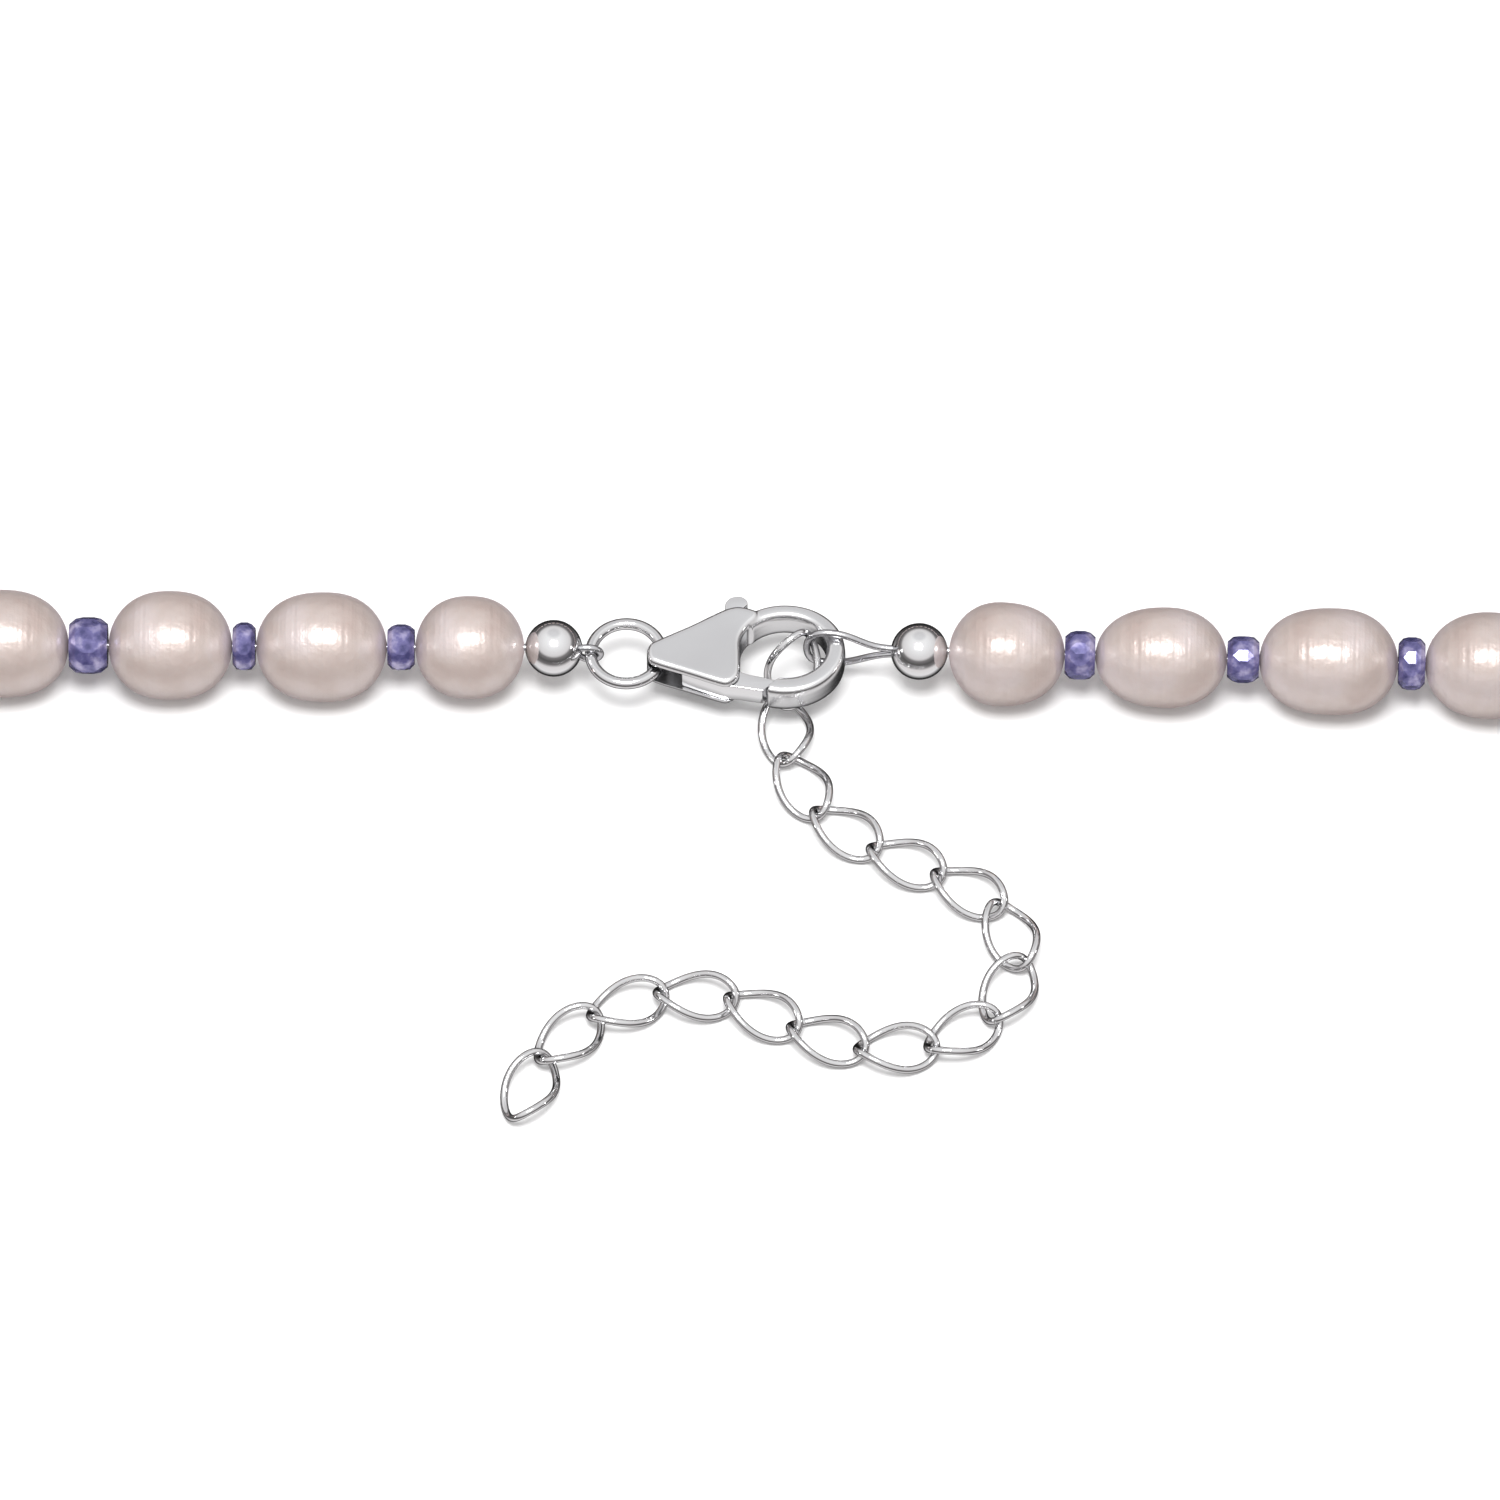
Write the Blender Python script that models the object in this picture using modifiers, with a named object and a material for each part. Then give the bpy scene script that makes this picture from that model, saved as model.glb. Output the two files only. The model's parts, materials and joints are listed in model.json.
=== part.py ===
"""Pearl necklace lying on a table: a closed loop of strung pearls and faceted rondelles, fastened by a
lobster clasp, with a sixteen-link extender chain lying in front of it.

Metres, +Z up. The world origin is the middle of the whole piece's bounding box, on the table. All sizes
below are in the row frame: X = 0 midway between the two end balls, Y = 0 on the front row of pearls.
"""

import math

import bmesh
import bpy
from mathutils import Matrix, Vector

MM = 0.001

# The front row's place in the world, so that the whole piece is centred on the origin
ROW_ORIGIN = (-1.146 * MM, -19.151 * MM, -0.0298 * MM)

# Strand: a stadium-shaped loop, seen from above
STRAND_Z = 3.78 * MM
BALL_X = 12.23 * MM
LEFT_BALL_Y = 0.15 * MM
RIGHT_BALL_Y = -0.1 * MM
LEFT_HEADING = math.radians(179.6)
RIGHT_HEADING = math.radians(178.3)
FRONT_LENGTH = 46.5 * MM
BACK_Y = 70.0 * MM

# Beads, from the end ball outwards: (length along the wire, diameter across it)
LEFT_PEARLS = [(7.27, 7.07), (8.74, 7.53), (8.27, 7.47), (8.1, 7.4)]
RIGHT_PEARLS = [(7.73, 7.13), (8.8, 6.9), (9.27, 7.33), (8.5, 7.33)]
LEFT_RONDELLES = [(1.8, 3.13), (1.5, 3.27), (2.55, 3.87)]
RIGHT_RONDELLES = [(1.95, 3.33), (2.05, 3.2), (1.7, 3.6)]
HIDDEN_PEARL_D = 7.66 * MM
HIDDEN_RONDELLE = (2.0 * MM, 3.4 * MM)
BORE_R = 0.35 * MM
BEAD_GAP = 0.06 * MM
PEARL_BLUNTNESS = 2.3
PEARL_STEPS = 16
RONDELLE_STEPS = 12

# Lines across the loop, parallel to X, about which its back half lifts off the table
FOLD_YS = [8.8 * MM, 17.0 * MM, 27.0 * MM, 37.0 * MM, 47.5 * MM]
FOLD_GAP = 0.2 * MM
SIDE_PEARLS = [3, 1, 1, 1, 1]
BACK_PEARLS = [5, 5, 5, 5]

# End balls, crimp tubes and beading wire
WIRE_R = 0.2 * MM
BALL_R = 1.93 * MM
BALL_WALL = 0.25 * MM
BALL_HOLE_R = 0.9 * MM
CRIMP_IN_R = 0.55 * MM
CRIMP_OUT_R = 0.8 * MM
CRIMP_LENGTH = 1.9 * MM
WIRE_LEG = 0.25 * MM

# Lobster clasp, lying flat: its middle plane, plates, channel and lever
CLASP_Z = 3.5 * MM
CLASP_HALF = 1.45 * MM
CHANNEL_HALF = 0.9 * MM
LEVER_HALF = 0.82 * MM
PIVOT = (-1.0 * MM, 0.3 * MM)
RIVET_R = 0.4 * MM
RIVET_PLATE_GAP = 0.03 * MM
RIVET_LEVER_GAP = 0.07 * MM
RIVET_TOP = 1.2 * MM

# Hook of the clasp: a bar swept round part of an ellipse
HOOK_CENTRE = (3.25 * MM, -0.3 * MM)
HOOK_RADII = (3.4 * MM, 2.98 * MM)
HOOK_ANGLES = (128, -108)
HOOK_POINTS = 18
HOOK_HALF_WIDTH = 0.66 * MM
HOOK_HALF_HEIGHT = 1.36 * MM
SEAM_POINT = (2.36 * MM, -3.1 * MM)
SEAM_ANGLE = math.radians(40)
SEAM_GAP = 0.1 * MM

# Ring between the left end ball and the clasp's tail
RING_CENTRE = (-7.38 * MM, -0.1 * MM)
RING_R = 2.4 * MM
RING_WIRE_R = 0.42 * MM

# Extender chain: links of a twisted oval, each turned about a vertical axis where it meets the last
LINK_HALF_LENGTH = 2.74 * MM
LINK_HALF_WIDTH = 1.7 * MM
LINK_WIRE_R = 0.28 * MM
LINK_TWIST = math.radians(45)
LINK_POINTS = 16
LINK_PITCH = 4.72 * MM
CHAIN_Z = 0.96 * MM
FIRST_JOINT = (4.36 * MM, 0.71 * MM, 4.35 * MM)
SECOND_JOINT = (3.22 * MM, -2.11 * MM, CHAIN_Z)
FIRST_LINK_ROLL = math.radians(-6)
LINK_HEADINGS = [-88, -64, -38, -25, -32, -71, -114, -151, -178, 159, 151, 175, -158, -135, -112]

# Colours: (red, green, blue), roughness, metallic
PEARL_WHITE = ((0.74, 0.64, 0.60), 0.22, 0.0)
STONE_VIOLET = ((0.30, 0.27, 0.48), 0.12, 0.0)
SILVER_BRIGHT = ((0.86, 0.86, 0.87), 0.08, 1.0)
SILVER_SATIN = ((0.72, 0.72, 0.73), 0.25, 1.0)
STEEL_WIRE = ((0.62, 0.62, 0.64), 0.3, 1.0)


def mm(points):
    """The points in metres, from lists in millimetres."""
    return [tuple(value * MM for value in point) for point in points]


# ---------------------------------------------------------------- scene helpers


def clear_scene():
    for obj in list(bpy.data.objects):
        bpy.data.objects.remove(obj, do_unlink=True)


def make_collection(name, hidden=False):
    collection = bpy.data.collections.new(name)
    bpy.context.scene.collection.children.link(collection)
    collection.hide_render = hidden
    return collection


def make_material(name, look):
    colour, roughness, metallic = look
    material = bpy.data.materials.new(name)
    material.use_nodes = True
    shader = material.node_tree.nodes["Principled BSDF"]
    shader.inputs["Base Color"].default_value = (*colour, 1.0)
    shader.inputs["Roughness"].default_value = roughness
    shader.inputs["Metallic"].default_value = metallic
    material.diffuse_color = (*colour, 1.0)
    return material


def add_piece(name, data, material, location=(0, 0, 0), rotation=(0, 0, 0)):
    """A visible piece of the necklace, placed in the row frame."""
    obj = bpy.data.objects.new(name, data)
    if not data.materials:
        data.materials.append(material)
    obj.location = location
    obj.rotation_euler = rotation
    obj.parent = row
    necklace.objects.link(obj)
    return obj


def add_helper(name, data, location=(0, 0, 0), rotation=(0, 0, 0)):
    """A cutter or a guide, which isn't part of the necklace."""
    obj = bpy.data.objects.new(name, data)
    obj.location = location
    obj.rotation_euler = rotation
    obj.parent = row
    obj.hide_render = True
    obj.display_type = "WIRE"
    cutters.objects.link(obj)
    return obj


# ---------------------------------------------------------------- shape helpers


def wire_curve(name, points, radius, closed=False, sides=2, radii=None):
    """A round wire through the points; radii scale it at each point."""
    curve = bpy.data.curves.new(name, "CURVE")
    curve.dimensions = "3D"
    curve.bevel_depth = radius
    curve.bevel_resolution = sides
    curve.use_fill_caps = True
    spline = curve.splines.new("POLY")
    spline.points.add(len(points) - 1)
    for index, point in enumerate(points):
        spline.points[index].co = (*point, 1.0)
        if radii:
            spline.points[index].radius = radii[index]
    spline.use_cyclic_u = closed
    return curve


def flat_curve(name, outline, half_thickness):
    """A flat plate of this closed outline, centred on Z = 0."""
    curve = bpy.data.curves.new(name, "CURVE")
    curve.dimensions = "2D"
    curve.fill_mode = "BOTH"
    curve.extrude = half_thickness
    spline = curve.splines.new("POLY")
    spline.points.add(len(outline) - 1)
    for index, (x, y) in enumerate(outline):
        spline.points[index].co = (x, y, 0.0, 1.0)
    spline.use_cyclic_u = True
    return curve


def mesh_of(curve_object):
    """Replaces a curve object by its mesh with the caps welded, and gives the new mesh."""
    graph = bpy.context.evaluated_depsgraph_get()
    mesh = bpy.data.meshes.new_from_object(curve_object.evaluated_get(graph))
    mesh.name = curve_object.data.name
    edit = bmesh.new()
    edit.from_mesh(mesh)
    bmesh.ops.remove_doubles(edit, verts=edit.verts, dist=1e-7)
    bmesh.ops.recalc_face_normals(edit, faces=edit.faces)
    edit.to_mesh(mesh)
    edit.free()
    mesh.shade_flat()
    bpy.data.objects.remove(curve_object, do_unlink=True)
    return mesh


def boolean(obj, other, operation):
    modifier = obj.modifiers.new(f"{operation.lower()} {other.name}", "BOOLEAN")
    modifier.operation = operation
    modifier.object = other
    modifier.solver = "EXACT"


def cylinder_mesh(name, radius, depth, segments):
    mesh = bpy.data.meshes.new(name)
    edit = bmesh.new()
    bmesh.ops.create_cone(
        edit, cap_ends=True, segments=segments, radius1=radius, radius2=radius, depth=depth
    )
    edit.to_mesh(mesh)
    edit.free()
    return mesh


def box_mesh(name, size):
    mesh = bpy.data.meshes.new(name)
    edit = bmesh.new()
    bmesh.ops.create_cube(edit, size=1.0)
    bmesh.ops.scale(edit, vec=size, verts=edit.verts)
    edit.to_mesh(mesh)
    edit.free()
    return mesh


def turned_piece(name, profile, steps, material, location, heading, smooth=True):
    """A ring-shaped solid turned about the wire. The profile is a closed loop of (radius, height) points
    that runs down its outer side; heading is the direction of the wire, about Z."""
    mesh = bpy.data.meshes.new(name)
    edit = bmesh.new()
    corners = [edit.verts.new((radius, 0.0, height)) for radius, height in profile]
    for index, corner in enumerate(corners):
        edit.edges.new((corner, corners[(index + 1) % len(corners)]))
    edit.to_mesh(mesh)
    edit.free()
    # local Z lies along the wire, so the piece spins about its own Z
    obj = add_piece(name, mesh, material, location, (0.0, math.pi / 2, heading))
    screw = obj.modifiers.new("turn", "SCREW")
    screw.axis = "Z"
    screw.angle = math.tau
    screw.steps = steps
    screw.render_steps = steps
    screw.use_merge_vertices = True
    screw.merge_threshold = 0.00001
    screw.use_smooth_shade = smooth
    return obj


# ---------------------------------------------------------------- the strand's path


def walk(x, y, heading, distance, radius):
    """The pose after going this far straight on, or round a clockwise arc where radius isn't None."""
    if radius is None:
        return x + distance * math.cos(heading), y + distance * math.sin(heading), heading
    turned = heading - distance / radius
    centre_x = x + radius * math.sin(heading)
    centre_y = y - radius * math.cos(heading)
    return centre_x - radius * math.sin(turned), centre_y + radius * math.cos(turned), turned


def strand_path():
    """The loop's stretches as (length, radius), going clockwise from the left end ball to the right one,
    and the two end radii. The back row is parallel to X at BACK_Y."""
    left_rise = FRONT_LENGTH * math.sin(LEFT_HEADING)
    right_rise = FRONT_LENGTH * math.sin(RIGHT_HEADING)
    left_r = (BACK_Y - LEFT_BALL_Y - left_rise) / (1 - math.cos(LEFT_HEADING))
    right_r = (BACK_Y - RIGHT_BALL_Y + right_rise) / (1 - math.cos(RIGHT_HEADING))
    right_turn = math.tau - RIGHT_HEADING
    left_end = walk(*left_start(), FRONT_LENGTH, None)
    left_top = walk(*left_end, left_r * LEFT_HEADING, left_r)
    right_top_x = BALL_X - FRONT_LENGTH * math.cos(RIGHT_HEADING) + right_r * math.sin(RIGHT_HEADING)
    stretches = [
        (FRONT_LENGTH, None),
        (left_r * LEFT_HEADING, left_r),
        (right_top_x - left_top[0], None),
        (right_r * right_turn, right_r),
        (FRONT_LENGTH, None),
    ]
    return stretches, left_r, right_r


def left_start():
    return -BALL_X, LEFT_BALL_Y, LEFT_HEADING


def strand_pose(distance):
    """(x, y, heading) at this distance along the loop from the left end ball."""
    x, y, heading = left_start()
    for length, radius in STRETCHES:
        step = min(distance, length)
        x, y, heading = walk(x, y, heading, step, radius)
        distance -= step
        if distance <= 0:
            break
    return x, y, heading


def fold_distances(fold_y):
    """Where the loop crosses a fold line on its left and on its right side."""
    left_turn = LEFT_HEADING - math.acos((fold_y - (BACK_Y - LEFT_R)) / LEFT_R)
    right_turn = math.acos((fold_y - (BACK_Y - RIGHT_R)) / RIGHT_R)
    to_back = sum(length for length, _ in STRETCHES[:3])
    return FRONT_LENGTH + left_turn * LEFT_R, to_back + right_turn * RIGHT_R


# ---------------------------------------------------------------- beads and strand


def pearl_radius(share, diameter):
    """The pearl's radius at this share of its half length, blunter at its ends than an ellipsoid."""
    return diameter / 2 * max(0.0, 1 - abs(share) ** PEARL_BLUNTNESS) ** 0.5


def make_pearl(name, length, diameter, x, y, heading):
    shares = [0.995, 0.93, 0.78, 0.5, 0.17, -0.17, -0.5, -0.78, -0.93, -0.995]
    outer = [(max(pearl_radius(s, diameter), BORE_R * 1.4), s * length / 2) for s in shares]
    bore = [(BORE_R, -length / 2), (BORE_R, length / 2)]
    place = (x, y, STRAND_Z)
    return turned_piece(name, outer + bore, PEARL_STEPS, pearl_white, place, heading)


def make_rondelle(name, length, diameter, x, y, heading):
    radius = diameter / 2
    profile = [
        (radius * 0.8, length / 2),
        (radius, length * 0.28),
        (radius, -length * 0.28),
        (radius * 0.8, -length / 2),
        (BORE_R, -length / 2),
        (BORE_R, length / 2),
    ]
    place = (x, y, STRAND_Z)
    return turned_piece(name, profile, RONDELLE_STEPS, stone_violet, place, heading, smooth=False)


def make_visible_beads(side, pearls, rondelles, start, heading):
    """Strings the beads next to the clasp outwards from an end ball, and gives the distance they take."""
    x, y = start
    distance = BALL_R
    outward = Vector((math.cos(heading), math.sin(heading)))
    for index, (length, diameter) in enumerate(pearls):
        distance += BEAD_GAP
        middle = Vector((x, y)) + outward * (distance + length * MM / 2)
        make_pearl(f"{side}_pearl_{index + 1}", length * MM, diameter * MM, *middle, heading)
        distance += length * MM
        if index == len(rondelles):
            continue
        length, diameter = rondelles[index]
        distance += BEAD_GAP
        middle = Vector((x, y)) + outward * (distance + length * MM / 2)
        make_rondelle(f"{side}_rondelle_{index + 1}", length * MM, diameter * MM, *middle, heading)
        distance += length * MM
    return distance


def strung_sections(kinds, length):
    """(distance, radius) down a run of beads of these kinds, "r" or "p", whose pearls share what the
    rondelles leave of the length. The first and last section are the run's end faces."""
    thickness, rondelle_d = HIDDEN_RONDELLE
    pearl = length - (len(kinds) - 1) * BEAD_GAP - kinds.count("r") * thickness
    pearl = pearl / kinds.count("p")
    distance = 0.0
    sections = []
    for kind in kinds:
        if kind == "p":
            for share in (-0.99, -0.8, -0.25, 0.25, 0.8, 0.99):
                place = distance + pearl * (1 + share) / 2
                sections.append((place, pearl_radius(share, HIDDEN_PEARL_D)))
            distance += pearl
        else:
            sections.append((distance + thickness * 0.2, rondelle_d / 2))
            sections.append((distance + thickness * 0.8, rondelle_d / 2))
            distance += thickness
        distance += BEAD_GAP
    # close the run with small faces round the wire
    sections.insert(0, (0.0, WIRE_R * 4))
    sections.append((length, WIRE_R * 4))
    return sections


def make_strung_run(name, kinds, start, end):
    """A run of beads out of reach of the clasp, made as one solid with the wire that it is strung on."""
    points, radii = [], []
    for distance, radius in strung_sections(kinds, end - start):
        x, y, _ = strand_pose(start + distance)
        points.append((x, y, STRAND_Z))
        radii.append(radius / HIDDEN_PEARL_D * 2)
    curve = wire_curve(name, points, HIDDEN_PEARL_D / 2, radii=radii)
    return add_piece(name, curve, pearl_white)


def make_hidden_strand(left_used, right_used):
    """The rest of the loop, in runs that meet at the fold lines and share the back row."""
    folds = [fold_distances(y) for y in FOLD_YS]
    loop = sum(length for length, _ in STRETCHES)
    left_marks = [left_used] + [left for left, _ in folds]
    right_marks = [loop - right_used] + [right for _, right in folds]
    names = ["front", "1", "2", "3", "4"]
    for index, name in enumerate(names):
        near = BEAD_GAP if index == 0 else FOLD_GAP / 2
        kinds = "rp" * SIDE_PEARLS[index]
        start, end = left_marks[index] + near, left_marks[index + 1] - FOLD_GAP / 2
        make_strung_run(f"strand_left_{name}", kinds, start, end)
        start, end = right_marks[index + 1] + FOLD_GAP / 2, right_marks[index] - near
        make_strung_run(f"strand_right_{name}", kinds[::-1], start, end)
    start, end = left_marks[-1] + FOLD_GAP / 2, right_marks[-1] - FOLD_GAP / 2
    pitch = (end - start) / sum(BACK_PEARLS)
    for index, count in enumerate(BACK_PEARLS):
        kinds = "rp" * count
        finish = start + count * pitch
        if index == len(BACK_PEARLS) - 1:
            kinds += "r"
            finish = end + BEAD_GAP
        make_strung_run(f"strand_back_{index + 1}", kinds, start, finish - BEAD_GAP)
        start = finish


# ---------------------------------------------------------------- end balls, crimps and wires


def make_end_ball(side, x, y, heading):
    """A hollow crimp cover, open where the wire goes in and out, and the crimp tube inside it."""
    open_angle = math.asin(BALL_HOLE_R / BALL_R)
    inner_r = BALL_R - BALL_WALL
    inner_open = math.asin(BALL_HOLE_R / inner_r)
    count = 8
    outer, inner = [], []
    for index in range(count):
        share = index / (count - 1)
        angle = open_angle + (math.pi - 2 * open_angle) * share
        outer.append((BALL_R * math.sin(angle), BALL_R * math.cos(angle)))
        angle = inner_open + (math.pi - 2 * inner_open) * (1 - share)
        inner.append((inner_r * math.sin(angle), inner_r * math.cos(angle)))
    place = (x, y, STRAND_Z)
    turned_piece(f"{side}_end_ball", outer + inner, 20, silver_bright, place, heading)
    half = CRIMP_LENGTH / 2
    tube = [(CRIMP_OUT_R, half), (CRIMP_OUT_R, -half), (CRIMP_IN_R, -half), (CRIMP_IN_R, half)]
    turned_piece(f"{side}_crimp_tube", tube, 12, silver_satin, place, heading)


def make_left_wire(distance):
    """From the outermost left pearl, through the crimp, round the ring and back into the crimp."""
    far_x, far_y, _ = strand_pose(distance)
    points = [(far_x, far_y, STRAND_Z)]
    points += mm([
        (-14.6, 0.17, 3.78),
        (-13.3, 0.12, 3.98),
        (-11.3, -0.02, 4.03),
        (-10.7, -0.06, 4.05),
        (-10.3, -0.09, 4.18),
        (-9.9, -0.1, 4.24),
        (-9.45, -0.1, 4.12),
        (-9.15, -0.1, 3.82),
        (-9.06, -0.1, 3.45),
        (-9.2, -0.1, 3.1),
        (-9.5, -0.1, 2.86),
        (-9.85, -0.1, 2.79),
        (-10.2, -0.1, 2.94),
        (-10.7, -0.08, 3.34),
        (-11.15, 0.0, 3.48),
        (-11.6, 0.06, 3.54),
        (-13.35, 0.13, 3.54),
    ])
    add_piece("left_wire", wire_curve("left_wire", points, WIRE_R), steel_wire)


def make_right_wire(distance):
    """From the outermost right pearl, through the crimp, round the hook and the first link, and back."""
    far_x, far_y, _ = strand_pose(sum(length for length, _ in STRETCHES) - distance)
    points = [(far_x, far_y, STRAND_Z)]
    points += mm([
        (14.7, -0.17, 3.78),
        (13.3, -0.12, 3.98),
        (11.3, -0.09, 4.03),
        (10.2, -0.06, 4.05),
        (9.2, 0.0, 4.2),
        (8.3, 0.12, 4.62),
        (7.5, 0.28, 5.02),
        (6.7, 0.42, 5.17),
        (5.9, 0.5, 5.16),
        (5.3, 0.52, 4.98),
        (4.92, 0.5, 4.6),
        (4.72, 0.48, 4.0),
        (4.68, 0.46, 3.4),
        (4.74, 0.45, 2.7),
        (4.98, 0.43, 2.1),
        (5.4, 0.41, 1.83),
        (6.0, 0.38, 1.76),
        (6.8, 0.32, 1.79),
        (7.5, 0.25, 1.98),
        (8.3, 0.14, 2.5),
        (9.2, 0.02, 3.1),
        (10.2, -0.05, 3.42),
        (11.3, -0.09, 3.52),
        (13.35, -0.13, 3.53),
    ])
    add_piece("right_wire", wire_curve("right_wire", points, WIRE_R), steel_wire)


# ---------------------------------------------------------------- clasp


def make_ring():
    bpy.ops.mesh.primitive_torus_add(
        major_radius=RING_R,
        minor_radius=RING_WIRE_R,
        major_segments=28,
        minor_segments=8,
    )
    torus = bpy.context.object
    mesh = torus.data
    mesh.name = "clasp_ring"
    bpy.data.objects.remove(torus, do_unlink=True)
    mesh.shade_smooth()
    add_piece("clasp_ring", mesh, silver_bright, (*RING_CENTRE, CLASP_Z))


def hook_curve():
    """The hook's bar: an oval section swept round the ellipse, thinner over the top."""
    profile = bpy.data.curves.new("hook_section", "CURVE")
    profile.dimensions = "2D"
    spline = profile.splines.new("POLY")
    sides = 12
    spline.points.add(sides - 1)
    for index in range(sides):
        angle = math.tau * (index + 0.5) / sides
        # a rounded box, fuller than an ellipse
        across = HOOK_HALF_WIDTH * math.copysign(abs(math.cos(angle)) ** 0.6, math.cos(angle))
        up = HOOK_HALF_HEIGHT * math.copysign(abs(math.sin(angle)) ** 0.6, math.sin(angle))
        spline.points[index].co = (across, up, 0.0, 1.0)
    spline.use_cyclic_u = True
    section = add_helper("hook_section", profile)
    points, radii = [], []
    for index in range(HOOK_POINTS):
        share = index / (HOOK_POINTS - 1)
        angle = math.radians(HOOK_ANGLES[0] + (HOOK_ANGLES[1] - HOOK_ANGLES[0]) * share)
        x = HOOK_CENTRE[0] + HOOK_RADII[0] * math.cos(angle)
        y = HOOK_CENTRE[1] + HOOK_RADII[1] * math.sin(angle)
        points.append((x, y, 0.0))
        radii.append(0.96 - 0.12 * math.sin(angle))
    curve = wire_curve("hook", points, 0.0, radii=radii)
    curve.bevel_mode = "OBJECT"
    curve.bevel_object = section
    curve.twist_mode = "Z_UP"
    return curve


def seam_box(name, side):
    """A block on one side of the slanted seam between the gate and the hook's tip."""
    size = (2.6 * MM, 1.2 * MM, 6 * MM)
    offset = side * (size[1] / 2 - SEAM_GAP / 2)
    across = Vector((math.sin(SEAM_ANGLE), -math.cos(SEAM_ANGLE), 0.0))
    centre = Vector((*SEAM_POINT, CLASP_Z)) + across * offset
    mesh = box_mesh(name, size)
    return add_helper(name, mesh, centre, (0.0, 0.0, SEAM_ANGLE))


def make_clasp_body():
    """Two plates joined by a spine, a tail wall and the hook, cut from one block."""
    outline = mm([
        (-6.0, -0.75), (-5.9, -1.4), (-5.5, -1.72), (-4.77, -1.88), (-3.0, -2.6), (-1.15, -3.3),
        (-0.65, -3.33), (-0.2, -3.1), (0.1, -2.75), (0.28, -2.3), (0.3, 0.13), (0.48, 0.8),
        (0.82, 1.3), (1.3, 1.75), (1.5, 2.3), (1.2, 2.85), (0.3, 2.93), (-0.45, 2.9), (-1.2, 2.55),
        (-3.07, 1.4), (-5.3, 0.28), (-5.7, 0.05), (-5.93, -0.3),
    ])
    cavity = mm([
        (-6.3, -2.7), (1.0, -4.6), (1.0, 0.6), (0.68, 1.0), (0.68, 3.8), (-2.05, 3.8),
        (-2.05, 1.4), (-4.4, 0.15), (-4.4, 1.6), (-5.6, 1.6), (-5.5, 0.3), (-5.5, -0.4),
        (-5.6, -0.8), (-5.75, -1.1), (-6.1, -1.5),
    ])
    place = (0.0, 0.0, CLASP_Z)
    plates = mesh_of(add_helper("plates", flat_curve("clasp_body", outline, CLASP_HALF)))
    body = add_piece("clasp_body", plates, silver_satin, place)
    hook = add_helper("hook", mesh_of(add_helper("hook", hook_curve())), place)
    channel = mesh_of(add_helper("channel", flat_curve("channel", cavity, CHANNEL_HALF)))
    rivet_hole = cylinder_mesh("rivet_hole", RIVET_R + RIVET_PLATE_GAP, 3.2 * MM, 16)
    hole_z = CLASP_Z + RIVET_TOP + RIVET_PLATE_GAP - 1.6 * MM
    boolean(body, hook, "UNION")
    boolean(body, add_helper("channel", channel, place), "DIFFERENCE")
    boolean(body, add_helper("rivet_hole", rivet_hole, (*PIVOT, hole_z)), "DIFFERENCE")
    boolean(body, seam_box("seam_hook_side", -1), "DIFFERENCE")


def make_lever():
    """The gate, its boss round the rivet and its thumb knob, as one lever inside the channel."""
    outline = mm([
        (-3.7, -1.95), (-3.3, -2.3), (-1.2, -3.12), (-0.6, -3.25), (0.3, -3.35), (1.4, -3.55),
        (3.0, -3.6), (3.0, -2.8), (2.6, -2.72), (0.6, -2.2), (0.1, -1.9), (-0.1, -1.2),
        (-0.1, 0.9), (0.1, 1.6), (0.35, 2.9), (0.55, 3.4), (0.5, 3.85), (0.25, 4.1), (-0.1, 4.18),
        (-0.45, 4.08), (-0.68, 3.8), (-0.72, 3.3), (-0.8, 2.5), (-0.8, 1.25), (-1.6, 1.05),
        (-1.95, 0.5), (-1.95, -0.5), (-2.6, -1.3),
    ])
    plate = mesh_of(add_helper("lever_plate", flat_curve("clasp_lever", outline, LEVER_HALF)))
    # the lever turns about the rivet, so its origin is there
    plate.transform(Matrix.Translation((-PIVOT[0], -PIVOT[1], 0.0)))
    lever = add_piece("clasp_lever", plate, silver_bright, (*PIVOT, CLASP_Z))
    hole = cylinder_mesh("lever_hole", RIVET_R + RIVET_LEVER_GAP, 3.0 * MM, 16)
    boolean(lever, add_helper("lever_hole", hole, (*PIVOT, CLASP_Z)), "DIFFERENCE")
    boolean(lever, seam_box("seam_lever_side", 1), "DIFFERENCE")


def make_rivet():
    bottom, top = -CLASP_HALF, RIVET_TOP
    pin = cylinder_mesh("clasp_rivet", RIVET_R, top - bottom, 16)
    pin.set_sharp_from_angle(angle=math.radians(40))
    add_piece("clasp_rivet", pin, silver_satin, (*PIVOT, CLASP_Z + (top + bottom) / 2))


def make_spring():
    """A small compression coil between the spine and the lever's knob arm."""
    start_x, end_x = -1.92 * MM, -1.32 * MM
    wire_r, coil_r, turns, per_turn = 0.05 * MM, 0.24 * MM, 3, 10
    count = round(turns * per_turn)
    points = []
    for index in range(count + 1):
        angle = math.tau * index / per_turn
        x = start_x + (end_x - start_x) * index / count
        points.append((x, 1.72 * MM + coil_r * math.cos(angle), CLASP_Z + coil_r * math.sin(angle)))
    curve = wire_curve("clasp_spring", points, wire_r, sides=1)
    add_piece("clasp_spring", curve, steel_wire)


# ---------------------------------------------------------------- extender chain


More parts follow.
